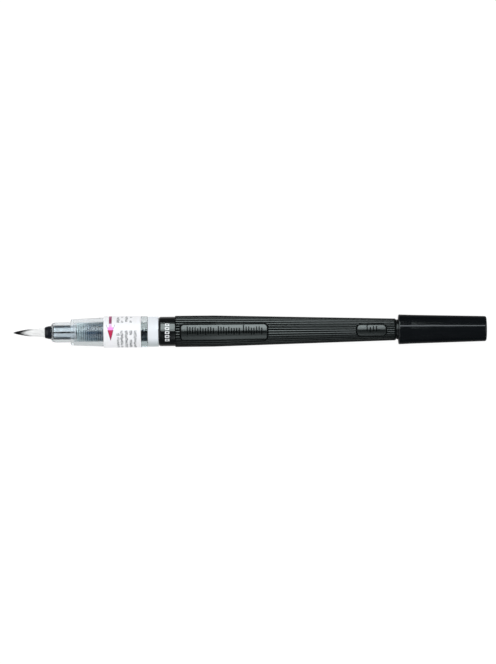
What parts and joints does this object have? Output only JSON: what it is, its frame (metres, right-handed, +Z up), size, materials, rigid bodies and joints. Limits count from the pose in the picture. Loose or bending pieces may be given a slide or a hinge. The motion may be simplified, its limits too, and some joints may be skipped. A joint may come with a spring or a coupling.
{
  "type": "brush pen",
  "caption": "Slim refillable brush pen lying flat: pointed tuft, clear finned front section, printed label, collar, ribbed squeeze barrel tapering to the tail, glossy cap posted on the tail.",
  "frame": {"origin": "centre of the pen's footprint: middle of its length, under its axis, on the surface that it lies on", "axes": "+X from the brush tip to the cap's end, +Z up, out of the side with the print and the smooth panels, +Y across"},
  "size_m": [0.1892, 0.0126, 0.0126],
  "materials": {
    "bristles": "soft synthetic filaments, black ink at the point",
    "white_plastic": "satin moulded",
    "ferrule_black": "satin gloss, moulded",
    "frosted_plastic": "translucent, wet with ink",
    "fibre_rod": "ink-soaked fibre",
    "collector_plastic": "ink-stained moulded fins",
    "clear_plastic": "clear, polished",
    "label_film": "printed film",
    "ink_stained_plastic": "ink-stained moulded",
    "tube_plastic": "drawn tube",
    "collar_plastic": "satin, slightly translucent",
    "gloss_black": "polished",
    "seal_rubber": "moulded",
    "plug_plastic": "moulded",
    "barrel_plastic": "satin, soft squeezable",
    "post_plastic": "satin moulded",
    "liner_plastic": "moulded"
  },
  "bodies": {
    "barrel": {"barrel_shell": "barrel_plastic", "mouth_band": "gloss_black", "orifice_plug": "plug_plastic", "seal_ring": "seal_rubber", "tail_post": "post_plastic"},
    "collar": {"spacer_collar": "collar_plastic"},
    "front_section": {"bristle_tuft": "bristles", "tuft_root_ring": "white_plastic", "tip_ferrule": "ferrule_black", "slotted_holder": "frosted_plastic", "ink_feed_rod": "fibre_rod", "ink_collector": "collector_plastic", "front_housing": "clear_plastic", "label_sleeve": "label_film", "rear_plug": "ink_stained_plastic", "feed_tube": "tube_plastic"},
    "cap": {"cap_shell": "gloss_black", "cap_liner": "liner_plastic"}
  },
  "joints": [
    {"name": "cap_pull", "type": "slide", "parent": "barrel", "child": "cap", "axis": [1, 0, 0], "range_m": [0, 0.025]},
    {"name": "collar_draw", "type": "slide", "parent": "barrel", "child": "collar", "axis": [-1, 0, 0], "range_m": [0, 0.01441]},
    {"name": "section_unscrew", "type": "hinge", "parent": "collar", "child": "front_section", "pos_m": [-0.0408, 0, 0.00628], "axis": [-1, 0, 0], "range_deg": [0, 2880]}
  ],
  "couplings": [
    {"joint": "collar_draw", "follows": "section_unscrew", "m_per_rad": 0.00028648}
  ]
}
